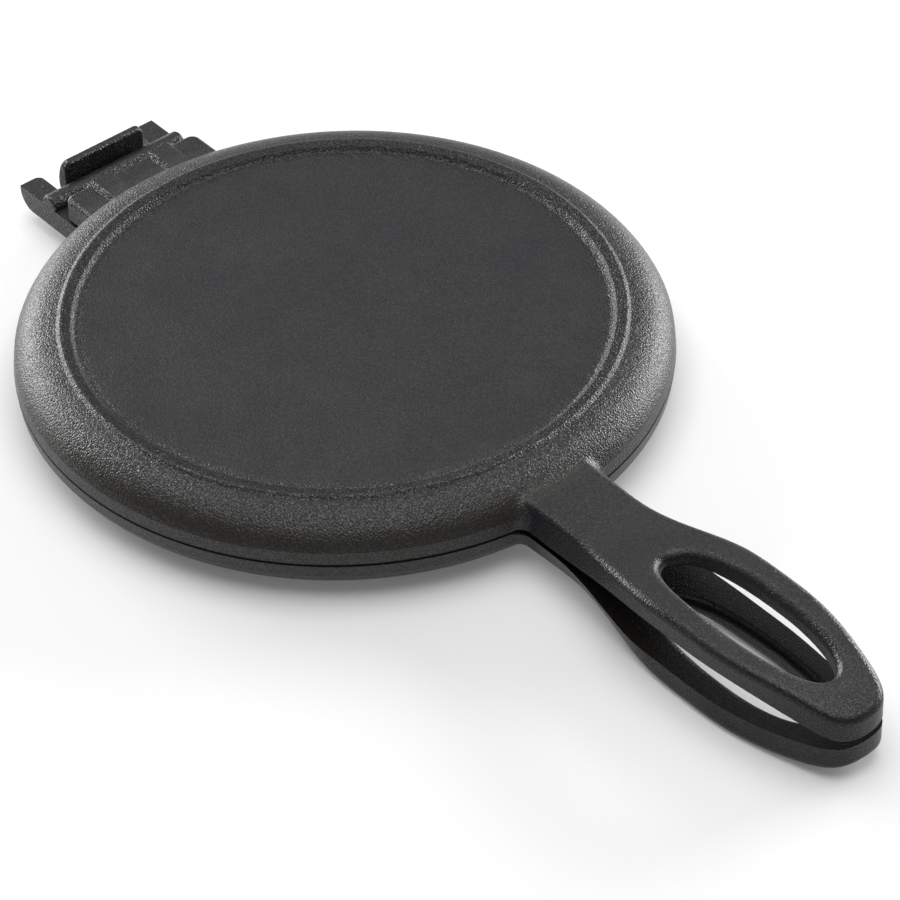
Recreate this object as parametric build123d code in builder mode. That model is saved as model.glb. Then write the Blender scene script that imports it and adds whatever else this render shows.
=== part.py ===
"""Hinged cast-iron pie iron: two round dished halves that close on each other.

Each half is one casting: a dished plate, half of a loop handle and half of a
pinless hinge.  The lower half carries a crossbar between two lugs, and the
upper half carries a tongue with a hook that wraps under that bar.

Millimetres.  +X runs towards the handle tips, the hinge is at -X, +Z is up and
z = 0 is the surface that the lower half stands on.  The origin is the bottom
centre of the closed iron's box.
"""
import os

from build123d import *

# --- round plate, the same in both halves -----------------------------------
plate_radius = 110.0         # outer rim
half_thickness = 15.2        # parting face to the standing ring's flat top
rim_height = 4.6             # upright band of the rim above the parting face
rim_draft = 0.5              # how far that band leans in
ring_inset = 16.6            # rim to the middle of the narrow standing ring
ring_width = 0.8             # its flat top
ring_foot_run = 1.2          # slope from the shoulder up to the ring
ring_foot_rise = 0.9         # and its height
ring_inner_run = 2.7         # gentle slope inside the ring, down to the step
ring_inner_drop = 0.6        # and its height
ring_round = 0.8             # rounding of its top
shoulder_crown_run = 2.2     # the shoulder's nearly level top
shoulder_drop = 1.3          # the shoulder's highest point below the ring
shoulder_bulge = 1.9         # how far the shoulder arc stands out of its chord
step_run = 1.6               # steeper step down to the flat panel
panel_depth = 2.0            # panel below the ring
panel_corner = 2.0           # hollow rounding where the step meets the panel
casting_round = 0.6          # least rounding on the plate's outside corners
parting_gap = 0.3            # daylight between the closed halves
parting_relief = 0.9         # handle and bracket stand back from the parting face

# --- cooking hollow in each half --------------------------------------------
land_width = 8.0             # flat rim land that crimps the crust
hollow_depth = 8.5
hollow_wall_run = 7.0        # sideways run of the sloping wall
hollow_corner = 5.0          # rounding where wall meets floor

# --- handle half, lengths from the rim or from the tip ------------------------
handle_length = 138.2        # rim to tip
neck_run = 23.0              # rim to the narrowest place of the outer face
neck_half = 11.6
neck_foot_run = 12.0         # rim to where the inner face starts to widen
neck_foot_half = 16.7
neck_root_half = 13.0        # half width of the outer face where it meets the plate
belly_from_tip = 66.0        # tip to the start of the widest place
belly_length = 17.0
belly_half = 21.0
belly_foot_from_tip = 87.0   # the same places at the inner face
belly_foot_half = 20.1
tip_run = 12.6               # the tip narrows here
tip_half = 13.8
tip_corner_run = 4.3         # and its rounded end starts here
tip_corner_half = 10.5
neck_top = 9.5               # outer face above the parting face, at the neck
arch_rise_run = 54.0         # length over which the outer face climbs
arch_top = 15.0              # outer face under the finger loop
arch_fall_run = 43.0         # length over which it comes down to the tip
tip_top = 8.7
tip_top_slope = 0.5
arch_inner_rise_run = 48.0   # the same for the inner face
arch_inner = 6.6
arch_inner_fall_run = 48.0
tip_inner_slope = 0.2
handle_edge_round = 2.6
root_blend = 5.0             # fillet between the handle and the plate
loop_length = 73.0           # oval finger loop, at its narrowest height
loop_half_width = 11.0
loop_tip_wall = 16.6         # loop's end to the handle's tip
loop_fullness = 0.64         # 0.55 is an ellipse, 1 is nearly a rectangle
loop_outer_round = 3.2       # the loop's wall is rounded over on both faces
loop_inner_round = 2.6

# --- hinge ------------------------------------------------------------------
bar_from_rim = 17.3          # rim to the crossbar's axis
bar_sink = 0.75              # axis below the lower half's parting face
bar_radius = 4.1
bar_end_round = 1.2
bracket_half_width = 28.7
bracket_bottom = 8.95        # below the lower half's parting face
lug_length = 16.7            # bar axis to the lugs' ends
lug_width = 8.4
lug_end_round = 6.5
lug_corner_round = 2.5
hook_clearance = 0.9         # all round the bar
hook_thickness = 5.5
hook_top_thickness = 3.1
hook_side_gap = 3.3          # between the hook's end and the lug beside it
hook_corner_round = 2.8
hook_top_round = 1.2
stem_top = 4.7               # where the hook's stem ends inside the tongue
stem_shoulder = 1.7          # where its outer face starts to slope back
window_clearance = 2.9       # between the hook's stem and the bracket
tongue_height = 8.25
tongue_bar_gap = 5.0         # tongue end to the crossbar's surface
tongue_side_step = 0.4       # tongue is narrower than the bracket on each side
tongue_corner_round = 3.5
tongue_edge_round = 1.8
rib_spacing = 25.1           # between the middles of the two raised ribs
rib_top_width = 7.3
rib_height = 1.6
rib_slope_run = 1.6          # sideways run of a rib's sloping side
rib_end_bevel = 0.8          # slope at a rib's hinge end
rib_edge_round = 0.6

# --- places worked out from the sizes above, about the plate's centre -------
ring_radius = plate_radius - ring_inset
ring_out = ring_radius + ring_width / 2
ring_in = ring_radius - ring_width / 2
ring_foot = ring_out + ring_foot_run
shoulder_height = half_thickness - shoulder_drop
step_radius = ring_in - ring_inner_run
step_top = half_thickness - ring_inner_drop
panel_radius = step_radius - step_run
panel_height = half_thickness - panel_depth
hollow_radius = plate_radius - land_width
hollow_floor_radius = hollow_radius - hollow_wall_run
handle_root = ring_radius                      # both join the plate inside its shoulder
hinge_root = -ring_radius
handle_tip = plate_radius + handle_length
neck_x = plate_radius + neck_run
loop_end_x = handle_tip - loop_tip_wall
loop_middle = loop_end_x - loop_length / 2
hinge_x = -(plate_radius + bar_from_rim)
hook_inner = bar_radius + hook_clearance
hook_outer = hook_inner + hook_thickness
stem_x = hinge_x + hook_inner
stem_root_x = hinge_x + hook_outer
window_edge_x = stem_root_x + window_clearance
tongue_end_x = hinge_x + bar_radius + tongue_bar_gap
tongue_half_width = bracket_half_width - tongue_side_step
lug_end_x = hinge_x - lug_length
lug_inner = bracket_half_width - lug_width
hook_half_width = lug_inner - hook_side_gap
hook_drop = bar_sink + parting_gap             # bar axis below the upper half's face

# --- where the two castings stand in the closed iron -------------------------
plate_x = -(handle_tip + lug_end_x) / 2
lower_face = Location((plate_x, 0, half_thickness), (180, 0, 0))    # turned over
upper_face = Location((plate_x, 0, half_thickness + parting_gap))


def in_loop(edge):
    """True for an edge on the wall of the handle's finger loop."""
    across = abs(edge.center().Y) < loop_half_width + casting_round
    along = abs(edge.center().X - loop_middle) < loop_length / 2 + casting_round
    return across and along


# --- one half without its hinge, parting face on z = 0 -----------------------
with BuildPart() as plate:
    with BuildSketch(Plane.XZ) as plate_profile:
        with BuildLine():
            rim_top = (plate_radius - rim_draft, rim_height)
            shoulder_top = (ring_foot + shoulder_crown_run, shoulder_height)
            Polyline((0, 0), (plate_radius, 0), rim_top)
            SagittaArc(rim_top, shoulder_top, -shoulder_bulge)
            Polyline(
                shoulder_top,
                (ring_foot, half_thickness - ring_foot_rise),
                (ring_out, half_thickness),
                (ring_in, half_thickness),
                (step_radius, step_top),
                (panel_radius, panel_height),
                (0, panel_height),
                (0, 0),
            )
        make_face()
        ring_span = (ring_in - ring_width / 4, ring_out + ring_width / 4)
        outside_corners = plate_profile.vertices().filter_by_position(
            Axis.X, step_radius - casting_round, plate_radius - rim_draft
        )
        fillet(outside_corners - outside_corners.filter_by_position(Axis.X, *ring_span), casting_round)
        fillet(plate_profile.vertices().filter_by_position(Axis.X, *ring_span), ring_round)
        panel_corners = plate_profile.vertices().filter_by_position(
            Axis.X, panel_radius - casting_round, panel_radius + casting_round
        )
        fillet(panel_corners, panel_corner)
    revolve(axis=Axis.Z)

with BuildPart() as handle:
    foot_start = plate_radius + neck_foot_run
    foot_belly = handle_tip - belly_foot_from_tip
    top_belly = handle_tip - belly_from_tip
    outlines = (
        (0, foot_start, neck_foot_half, neck_foot_half, foot_belly, belly_foot_half),
        (half_thickness, neck_x, neck_root_half, neck_half, top_belly, belly_half),
    )
    for height, start, root_half, start_half, wide, wide_half in outlines:
        tip_start = (handle_tip - tip_run, tip_half)
        tip_corner = (handle_tip - tip_corner_run, tip_corner_half)
        wide_end = (wide + belly_length, wide_half)
        with BuildSketch(Plane.XY.offset(height)):
            with BuildLine():
                Polyline((handle_root, 0), (handle_root, root_half))
                Spline(
                    (handle_root, root_half),
                    (start, start_half),
                    tangents=((1, 0), (1, 0)),
                )
                Spline((start, start_half), (wide, wide_half), tangents=((1, 0), (1, 0)))
                Line((wide, wide_half), wide_end)
                Spline(
                    wide_end,
                    tip_start,
                    tip_corner,
                    (handle_tip, 0),
                    tangents=((1, 0), (0, -1)),
                )
                mirror(about=Plane.XZ)
            make_face()
    loft(ruled=True)
    arch_start = neck_x + arch_rise_run
    arch_end = handle_tip - arch_fall_run
    with BuildSketch(Plane.XZ.offset(-belly_half)):
        with BuildLine():
            Polyline((neck_x, neck_top), (handle_root, neck_top), (handle_root, 0))
            Polyline((handle_root, 0), (handle_tip, 0), (handle_tip, tip_top))
            Spline(
                (handle_tip, tip_top),
                (arch_end, arch_top),
                tangents=((-1, tip_top_slope), (-1, 0)),
            )
            Line((arch_end, arch_top), (arch_start, arch_top))
            Spline((arch_start, arch_top), (neck_x, neck_top), tangents=((-1, 0), (-1, 0)))
        make_face()
    extrude(amount=2 * belly_half, mode=Mode.INTERSECT)
    with BuildSketch(Plane.XY):
        with BuildLine():
            for end in (loop_length / 2, -loop_length / 2):
                Bezier(
                    (loop_middle + end, 0),
                    (loop_middle + end, loop_half_width * loop_fullness),
                    (loop_middle + end * loop_fullness, loop_half_width),
                    (loop_middle, loop_half_width),
                )
            mirror(about=Plane.XZ)
        make_face()
    extrude(amount=half_thickness, mode=Mode.SUBTRACT)
    outside = handle.faces().filter_by(lambda f: f.normal_at().Z > 0.5)
    walls = handle.faces().filter_by(lambda f: abs(f.normal_at().Z) < 0.5)
    outer_edges = outside.edges() & walls.edges()
    loop_edges = outer_edges.filter_by(in_loop)
    root_edges = outer_edges.filter_by_position(
        Axis.X, handle_root - casting_round, handle_root + casting_round
    )
    fillet(outer_edges - root_edges - loop_edges, handle_edge_round)
    outside = handle.faces().filter_by(lambda f: f.normal_at().Z > 0.5)
    fillet(outside.edges().filter_by(in_loop), loop_outer_round)

# --- what is cut from under the handle, outside the rim ----------------------
with BuildPart() as arch:
    with BuildSketch(Plane.XZ.offset(-plate_radius)):
        with BuildLine():
            rise_start = (plate_radius + neck_foot_run, parting_relief)
            rise_end = (plate_radius + neck_foot_run + arch_inner_rise_run, arch_inner)
            fall_start = (handle_tip - arch_inner_fall_run, arch_inner)
            fall_end = (handle_tip + casting_round, parting_relief)
            Polyline(fall_end, (handle_tip + casting_round, -casting_round))
            Polyline((handle_tip + casting_round, -casting_round), (ring_radius, -casting_round))
            Polyline((ring_radius, -casting_round), (ring_radius, parting_relief), rise_start)
            Spline(rise_start, rise_end, tangents=((1, 0), (1, 0)))
            Line(rise_end, fall_start)
            Spline(fall_start, fall_end, tangents=((1, 0), (1, -tip_inner_slope)))
        make_face()
    extrude(amount=2 * plate_radius)
    with BuildSketch(Plane.XY.offset(-casting_round)):
        Circle(plate_radius)
    extrude(amount=half_thickness, mode=Mode.SUBTRACT)

with BuildPart() as half:
    add(plate.part)
    add(handle.part)
    fillet(half.edges(Select.NEW), root_blend)
    add(arch.part, mode=Mode.SUBTRACT)
    loop_edges = half.edges(Select.LAST).filter_by(in_loop)
    fillet(loop_edges - loop_edges.filter_by(Axis.Z), loop_inner_round)

with BuildPart() as hollow:
    with BuildSketch(Plane.XZ) as hollow_profile:
        with BuildLine():
            Polyline(
                (0, 0),
                (hollow_radius, 0),
                (hollow_floor_radius, hollow_depth),
                (0, hollow_depth),
                (0, 0),
            )
        make_face()
        floor_corner = hollow_profile.vertices().filter_by_position(
            Axis.X, hollow_floor_radius - casting_round, hollow_floor_radius + casting_round
        )
        fillet(floor_corner, hollow_corner)
    revolve(axis=Axis.Z)

# --- hinge parts, each on its own half's parting face ------------------------
with BuildPart() as tongue:
    with BuildSketch(Plane.XY):
        with Locations((tongue_end_x, 0)):
            Rectangle(
                hinge_root - tongue_end_x,
                2 * tongue_half_width,
                align=(Align.MIN, Align.CENTER),
            )
    extrude(amount=tongue_height)
    fillet(tongue.edges().filter_by(Axis.Z).group_by(Axis.X)[0], tongue_corner_round)
    tongue_top = tongue.faces().sort_by(Axis.Z)[-1]
    fillet(tongue_top.edges().sort_by(Axis.X)[:-1], tongue_edge_round)
    with BuildSketch(Plane.YZ.offset(tongue_end_x)):
        rib_top = tongue_height + rib_height
        rib_foot = tongue_height - tongue_edge_round
        rib_run = rib_slope_run * (rib_top - rib_foot) / rib_height
        for middle in (rib_spacing / 2, -rib_spacing / 2):
            with BuildLine():
                Polyline(
                    (middle - rib_top_width / 2 - rib_run, rib_foot),
                    (middle - rib_top_width / 2, rib_top),
                    (middle + rib_top_width / 2, rib_top),
                    (middle + rib_top_width / 2 + rib_run, rib_foot),
                    close=True,
                )
            make_face()
    extrude(amount=hinge_root - tongue_end_x)
    rib_ends = tongue.edges().filter_by(Axis.Y).group_by(Axis.Z)[-1].group_by(Axis.X)[0]
    chamfer(rib_ends, rib_end_bevel)
    fillet(tongue.edges().filter_by(Axis.X).group_by(Axis.Z)[-1], rib_edge_round)

with BuildPart() as hook:
    with BuildSketch(Plane.XZ.offset(-hook_half_width)):
        with Locations((hinge_x, -hook_drop)):
            Circle(hook_outer)
            Rectangle(
                2 * hook_outer,
                hook_outer,
                align=(Align.CENTER, Align.MIN),
                mode=Mode.SUBTRACT,
            )
        with BuildLine():
            back_foot = (hinge_x - hook_outer, -hook_drop)
            back_top = (hinge_x - hook_inner - hook_top_thickness, tongue_height)
            Polyline(
                back_top,
                (hinge_x - hook_inner, tongue_height),
                (hinge_x - hook_inner, -hook_drop),
                back_foot,
            )
            back_lean = back_top[0] - back_foot[0]
            Spline(
                back_foot,
                back_top,
                tangents=((0, 1), (back_lean, tongue_height)),
            )
        make_face()
        with BuildLine():
            Polyline(
                (stem_x, -hook_drop),
                (stem_x, stem_shoulder),
                (tongue_end_x, stem_top),
                (stem_root_x, stem_top),
                (stem_root_x, -hook_drop),
                (hinge_x, -hook_drop - hook_outer),
                close=True,
            )
        make_face()
        with Locations((hinge_x, -hook_drop)):
            Circle(hook_inner, mode=Mode.SUBTRACT)
    extrude(amount=2 * hook_half_width)
    top_corners = hook.edges().filter_by(Axis.X).group_by(Axis.Z)[-1]
    fillet(top_corners, hook_corner_round)
    fillet(hook.edges().filter_by(Axis.Y).group_by(Axis.Z)[-1], hook_top_round)

with BuildPart() as bracket:
    with BuildSketch(Plane.XY.offset(parting_relief)):
        with Locations((lug_end_x, 0)):
            Rectangle(
                hinge_root - lug_end_x,
                2 * bracket_half_width,
                align=(Align.MIN, Align.CENTER),
            )
            Rectangle(
                window_edge_x - lug_end_x,
                2 * lug_inner,
                align=(Align.MIN, Align.CENTER),
                mode=Mode.SUBTRACT,
            )
    extrude(amount=bracket_bottom - parting_relief)
    lug_corners = bracket.edges().filter_by(Axis.Z).group_by(Axis.X)[0]
    fillet(lug_corners.filter_by_position(Axis.Y, -lug_inner, lug_inner), lug_corner_round)
    lug_ends = bracket.edges().filter_by(Axis.Y).group_by(Axis.X)[0].group_by(Axis.Z)[-1]
    fillet(lug_ends, lug_end_round)

with BuildPart() as crossbar:
    with BuildSketch(Plane.XZ.offset(-bracket_half_width)):
        with Locations((hinge_x, bar_sink)):
            Circle(bar_radius)
    extrude(amount=2 * bracket_half_width)
    fillet(crossbar.edges().filter_by(GeomType.CIRCLE), bar_end_round)

# --- the two castings, each one solid ----------------------------------------
with BuildPart() as upper_half:
    with Locations(upper_face):
        add(half.part)
        add(tongue.part)
        add(hook.part)
        add(hollow.part, mode=Mode.SUBTRACT)

with BuildPart() as lower_half:
    with Locations(lower_face):
        add(half.part)
        add(bracket.part)
        add(crossbar.part)
        add(hollow.part, mode=Mode.SUBTRACT)

upper_half.part.label = "upper_half"
lower_half.part.label = "lower_half"
os.makedirs("parts", exist_ok=True)
export_step(upper_half.part, "parts/upper_half.step")
export_step(lower_half.part, "parts/lower_half.step")
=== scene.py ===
"""Looks of the hinged cast-iron pie iron: seasoned sand-cast iron, a white floor and studio light.

Metres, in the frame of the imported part: +X to the handle tips, the hinge at -X, z = 0 is the floor.
"""
from math import pi, radians

import bpy
from mathutils import Euler, Matrix, Vector


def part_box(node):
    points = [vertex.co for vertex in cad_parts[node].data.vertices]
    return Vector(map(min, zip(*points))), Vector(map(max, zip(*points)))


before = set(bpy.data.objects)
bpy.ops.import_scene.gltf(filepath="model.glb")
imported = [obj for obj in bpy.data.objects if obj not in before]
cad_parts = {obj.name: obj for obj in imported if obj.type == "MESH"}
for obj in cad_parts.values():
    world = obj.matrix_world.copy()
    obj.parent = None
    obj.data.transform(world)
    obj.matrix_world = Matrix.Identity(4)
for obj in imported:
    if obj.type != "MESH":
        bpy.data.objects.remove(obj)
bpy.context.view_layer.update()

MM = 0.001
PARTING_PLANE = 15.35 * MM       # between the closed halves
PLATE_RADIUS = 110 * MM
RING_RADIUS = 93.4 * MM          # middle line of the narrow standing ring
PANEL_RADIUS = 88.7 * MM         # flat panel inside it, below a small step
TIP_TO_PLATE_AXIS = 248.2 * MM
plate_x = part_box("upper_half")[1].x - TIP_TO_PLATE_AXIS   # axis that both plates share

# sand grains are 0.2 to 0.4 mm: drawn at 0.6 mm, the finest that shows as single glints
GRAIN_SIZE = 0.62 * MM
GRAIN_DEPTH = 0.4 * MM
GLINT_SIZE = 0.56 * MM
SWELL_SIZE = 11 * MM             # slow unevenness of the mould's faces
SWELL_DEPTH = 0.3 * MM
PATCH_SIZE = 18 * MM             # patches where the oil film is thicker or thinner

BLUE_BLACK_OIL = "#16171a"
BROWN_BLACK_OIL = "#1c1b1b"
THIN_OIL = "#252321"
# near black, for painted shade and for oil baked in the step
SHADE_AND_BAKED_OIL_BLACK = "#110e0c"
WHITE = "#ffffff"
FLOOR_PAPER = "#ebebeb"

FLOOR_SIZE = 12
FLOOR_GLOW = 0.1                 # lifts the paper towards white for the camera
ROOM_LIGHT = 0.2                 # light that a white room gives back all round


def linear(hex_colour, alpha=1.0):
    """A colour written as sRGB hex, as the linear values that sockets take."""
    def channel(text):
        value = int(text, 16) / 255
        return value / 12.92 if value <= 0.04045 else ((value + 0.055) / 1.055) ** 2.4
    text = hex_colour.lstrip("#")
    return tuple(channel(text[i:i + 2]) for i in (0, 2, 4)) + (alpha,)


def add_node(tree, kind, settings=None, values=None):
    """Adds one node. settings are its properties; values fill its inputs, and a
    value that is another node's output socket becomes a link."""
    node = tree.nodes.new(kind)
    for name, setting in (settings or {}).items():
        setattr(node, name, setting)
    for name, value in (values or {}).items():
        if isinstance(value, bpy.types.NodeSocket):
            tree.links.new(value, node.inputs[name])
        else:
            node.inputs[name].default_value = value
    return node


def math_node(tree, operation, *values, clamp=False):
    """The result of one Math node over one to three numbers or sockets."""
    settings = {"operation": operation, "use_clamp": clamp}
    return add_node(tree, "ShaderNodeMath", settings, dict(enumerate(values))).outputs[0]


def remap(tree, value, start, end, low=0.0, high=1.0):
    """Goes from low to high, and stays there, while value goes from start to end."""
    return add_node(tree, "ShaderNodeMapRange", None, {
        "Value": value, "From Min": start, "From Max": end, "To Min": low, "To Max": high}).outputs[0]


def noise(tree, place, size, detail):
    """Smooth noise with features of about this size."""
    return add_node(tree, "ShaderNodeTexNoise", None, {
        "Vector": place, "Scale": 1 / size, "Detail": detail}).outputs[0]


def new_material(name):
    material = bpy.data.materials.new(name)
    material.use_nodes = True
    material.node_tree.nodes.clear()
    return material, material.node_tree


def grain_strength(tree, radius, level, x):
    """How deep the casting grain is, from 0 to about 1."""
    # moulding sand packs tighter on the flat panel and low on the shoulder, so the
    # plate is smoother there than round the ring
    panel = remap(tree, radius, PANEL_RADIUS - 4 * MM, PANEL_RADIUS - 1.5 * MM, 0.58, 1.0)
    rim = remap(tree, radius, PLATE_RADIUS - 9 * MM, PLATE_RADIUS - 2 * MM, 1.0, 0.65)
    plate = math_node(tree, "MULTIPLY", panel, rim)
    # hands wear the handle smoother than the hinge, and level faces smoother than sides
    side = remap(tree, x, -PLATE_RADIUS, PLATE_RADIUS, 1.3, 0.55)
    handle = remap(tree, level, 0.90, 0.98, side, 0.58)
    off_plate = remap(tree, radius, PLATE_RADIUS - 2 * MM, PLATE_RADIUS + 3 * MM)
    return add_node(tree, "ShaderNodeMix", None, {"Factor": off_plate, "A": plate, "B": handle}).outputs[0]


def seasoned_cast_iron():
    """Grey cast iron, sand cast and baked black with oil: a thin black glaze of
    hardened oil over a skin of sand grains. The eye gets a dull dark grey with a
    faint cold sheen, many small glints where grains face a lamp, and warm brown
    where the oil is thin at the edges."""
    material, tree = new_material("seasoned_cast_iron")
    position = add_node(tree, "ShaderNodeTexCoord")
    place = position.outputs["Object"]
    centred = add_node(tree, "ShaderNodeMapping", None,
                       {"Vector": place, "Location": (-plate_x, 0, -PARTING_PLANE)}).outputs[0]
    axes = add_node(tree, "ShaderNodeSeparateXYZ", None, {0: centred}).outputs
    flat = add_node(tree, "ShaderNodeVectorMath", {"operation": "MULTIPLY"},
                    {0: centred, 1: (1, 1, 0)}).outputs[0]
    radius = add_node(tree, "ShaderNodeVectorMath", {"operation": "LENGTH"}, {0: flat}).outputs["Value"]
    facing = add_node(tree, "ShaderNodeSeparateXYZ", None, {0: position.outputs["Normal"]}).outputs["Z"]
    level = math_node(tree, "ABSOLUTE", facing)
    on_plate = math_node(tree, "LESS_THAN", radius, PLATE_RADIUS + 1 * MM)
    on_handle = remap(tree, axes["X"], PLATE_RADIUS - 2 * MM, PLATE_RADIUS + 3 * MM)
    coarseness = grain_strength(tree, radius, level, axes["X"])

    # painted shade darkens the step inside the ring, along with the dark brown of oil that gathers and
    # bakes there
    from_step = math_node(tree, "SUBTRACT", radius, (PANEL_RADIUS + RING_RADIUS) / 2)
    from_step = math_node(tree, "ABSOLUTE", from_step)
    step_shade_and_oil = remap(tree, from_step, 1.6 * MM, 2.6 * MM, 1.0, 0.0)
    # painted shade blackens both edges of the seam where the two plates meet
    from_seam = math_node(tree, "ABSOLUTE", axes["Z"])
    seam_painted_shade = math_node(tree, "MULTIPLY", remap(tree, from_seam, 0.35 * MM, 0.75 * MM, 1.0, 0.0), on_plate)
    # and painted shade blackens the faces of both handle halves that look at each other
    gap_painted_shade = math_node(tree, "MULTIPLY", facing, math_node(tree, "SIGN", axes["Z"]))
    gap_painted_shade = remap(tree, gap_painted_shade, -0.5, -0.1, on_handle, 0.0)
    # oil runs off the low part of the shoulder, where grey-brown iron shows through
    thin_oil = remap(tree, radius, PLATE_RADIUS - 12 * MM, PLATE_RADIUS - 6 * MM)
    thin_oil = math_node(tree, "MULTIPLY", thin_oil, on_plate)
    # painted shade dims the reflection on the sides of the handle
    handle_side_painted_shade = remap(tree, level, 0.3, 0.9, on_handle, 0.0)

    swell = noise(tree, place, SWELL_SIZE, 1)
    bump = add_node(tree, "ShaderNodeBump", None,
                    {"Height": swell, "Distance": SWELL_DEPTH, "Strength": 0.5}).outputs[0]
    grain = noise(tree, place, GRAIN_SIZE, 1)
    bump = add_node(tree, "ShaderNodeBump", None, {
        "Height": grain, "Distance": GRAIN_DEPTH, "Strength": coarseness, "Normal": bump}).outputs[0]

    # grains polished by handling glint, the pits between them are dull
    glints = remap(tree, noise(tree, place, GLINT_SIZE, 0), 0.4, 0.75, -0.15, 0.42)
    glints = math_node(tree, "MULTIPLY_ADD", glints, coarseness, 0.44)
    # painted shade: the step, the seam, the facing handle faces and the handle's sides reflect less
    sheen_after_painted_shade = math_node(tree, "MULTIPLY_ADD", step_shade_and_oil, -0.3, 1.0)
    sheen_after_painted_shade = math_node(tree, "MULTIPLY_ADD", seam_painted_shade, -0.9, sheen_after_painted_shade)
    sheen_after_painted_shade = math_node(tree, "MULTIPLY_ADD", gap_painted_shade, -0.6, sheen_after_painted_shade)
    sheen_after_painted_shade = math_node(tree, "MULTIPLY_ADD", handle_side_painted_shade, -0.35, sheen_after_painted_shade)
    glints = math_node(tree, "MULTIPLY", glints, sheen_after_painted_shade, clamp=True)

    patches = noise(tree, place, PATCH_SIZE, 4)
    tint = add_node(tree, "ShaderNodeValToRGB", None, {"Fac": patches})
    thick, thin = tint.color_ramp.elements
    thick.position, thick.color = 0.38, linear(BLUE_BLACK_OIL)
    thin.position, thin.color = 0.68, linear(BROWN_BLACK_OIL)
    # inputs 6 and 7 of a Mix node are its two colours
    oiled = add_node(tree, "ShaderNodeMix", {"data_type": "RGBA"}, {
        "Factor": thin_oil, 6: tint.outputs["Color"], 7: linear(THIN_OIL)}).outputs[2]
    # painted shade on the seam and the facing handle faces, and painted shade with baked oil in the step,
    # turn the colour near black
    painted_shade_and_baked_oil = math_node(tree, "MULTIPLY_ADD", step_shade_and_oil, 0.5, seam_painted_shade, clamp=True)
    painted_shade_and_baked_oil = math_node(tree, "MAXIMUM", painted_shade_and_baked_oil, gap_painted_shade)
    black = add_node(tree, "ShaderNodeMix", {"data_type": "RGBA"}, {
        "Factor": painted_shade_and_baked_oil, 6: oiled, 7: linear(SHADE_AND_BAKED_OIL_BLACK)}).outputs[2]
    roughness = remap(tree, patches, 0.3, 0.7, 0.30, 0.38)
    shader = add_node(tree, "ShaderNodeBsdfPrincipled", None, {
        "Base Color": black, "Roughness": roughness, "Specular IOR Level": glints, "Normal": bump})
    add_node(tree, "ShaderNodeOutputMaterial", None, {"Surface": shader.outputs[0]})
    return material


def white_paper_floor():
    """Matt white paper sweep: plain, and it keeps a soft contact shadow."""
    material, tree = new_material("white_paper")
    matt = add_node(tree, "ShaderNodeBsdfDiffuse", None, {"Color": linear(FLOOR_PAPER)})
    glow = add_node(tree, "ShaderNodeEmission", None, {"Color": linear(WHITE), "Strength": FLOOR_GLOW})
    dark = add_node(tree, "ShaderNodeEmission", None, {"Strength": 0.0})
    rays = add_node(tree, "ShaderNodeLightPath").outputs
    seen = math_node(tree, "MAXIMUM", rays["Is Camera Ray"], rays["Is Glossy Ray"])
    extra = add_node(tree, "ShaderNodeMixShader", None, {0: seen, 1: dark.outputs[0], 2: glow.outputs[0]})
    both = add_node(tree, "ShaderNodeAddShader", None, {0: matt.outputs[0], 1: extra.outputs[0]})
    add_node(tree, "ShaderNodeOutputMaterial", None, {"Surface": both.outputs[0]})
    return material


def lay_floor():
    bpy.ops.object.select_all(action="DESELECT")
    bpy.ops.mesh.primitive_plane_add(size=FLOOR_SIZE)
    floor = bpy.context.object
    floor.name = "floor"
    floor.data.materials.append(white_paper_floor())


def studio_world():
    """A white room: plain white behind the object, and soft light from all round."""
    world = bpy.data.worlds.new("studio")
    bpy.context.scene.world = world
    world.use_nodes = True
    tree = world.node_tree
    tree.nodes.clear()
    rays = add_node(tree, "ShaderNodeLightPath").outputs
    strength = remap(tree, rays["Is Camera Ray"], 0.0, 1.0, ROOM_LIGHT, 1.0)
    sky = add_node(tree, "ShaderNodeBackground", None, {"Color": linear(WHITE), "Strength": strength})
    add_node(tree, "ShaderNodeOutputWorld", None, {"Surface": sky.outputs[0]})


def softbox(name, place, size, level):
    """A rectangular softbox that faces the object. level is its brightness, where
    1 is paper white."""
    data = bpy.data.lights.new(name, "AREA")
    data.shape = "RECTANGLE"
    data.size, data.size_y = size
    data.energy = level * pi * size[0] * size[1]
    lamp = bpy.data.objects.new(name, data)
    bpy.context.collection.objects.link(lamp)
    lamp.location = place
    lamp.rotation_euler = (-Vector(place)).to_track_quat("-Z", "Y").to_euler()


def place_camera():
    """A long lens that looks down over the handle from its right."""
    data = bpy.data.cameras.new("camera")
    data.lens = 180
    data.sensor_width = 36
    camera = bpy.data.objects.new("camera", data)
    bpy.context.collection.objects.link(camera)
    camera.location = (plate_x + 0.9195, -0.70687, PARTING_PLANE + 0.94587)
    elevation, azimuth, roll = radians(40.588), radians(50.77), radians(-1.454)
    aim = Euler((radians(90) - elevation, 0, azimuth)).to_matrix()
    camera.rotation_euler = (aim @ Matrix.Rotation(roll, 3, "Z")).to_euler()
    bpy.context.scene.camera = camera


iron = seasoned_cast_iron()
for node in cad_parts.values():
    for slot in node.material_slots:
        slot.material = iron

lay_floor()
studio_world()
softbox("back_box", (-1.5, 1.2, 1.75), (1.9, 1.9), 0.58)
softbox("top_box", (0.05, -0.05, 2.3), (2.3, 2.3), 2.45)
softbox("left_box", (-2.25, -0.2, 0.5), (1.5, 1.0), 11.2)
softbox("right_box", (0.0, 2.3, 0.5), (1.6, 1.0), 12.2)
place_camera()
bpy.context.scene.view_settings.view_transform = "Standard"
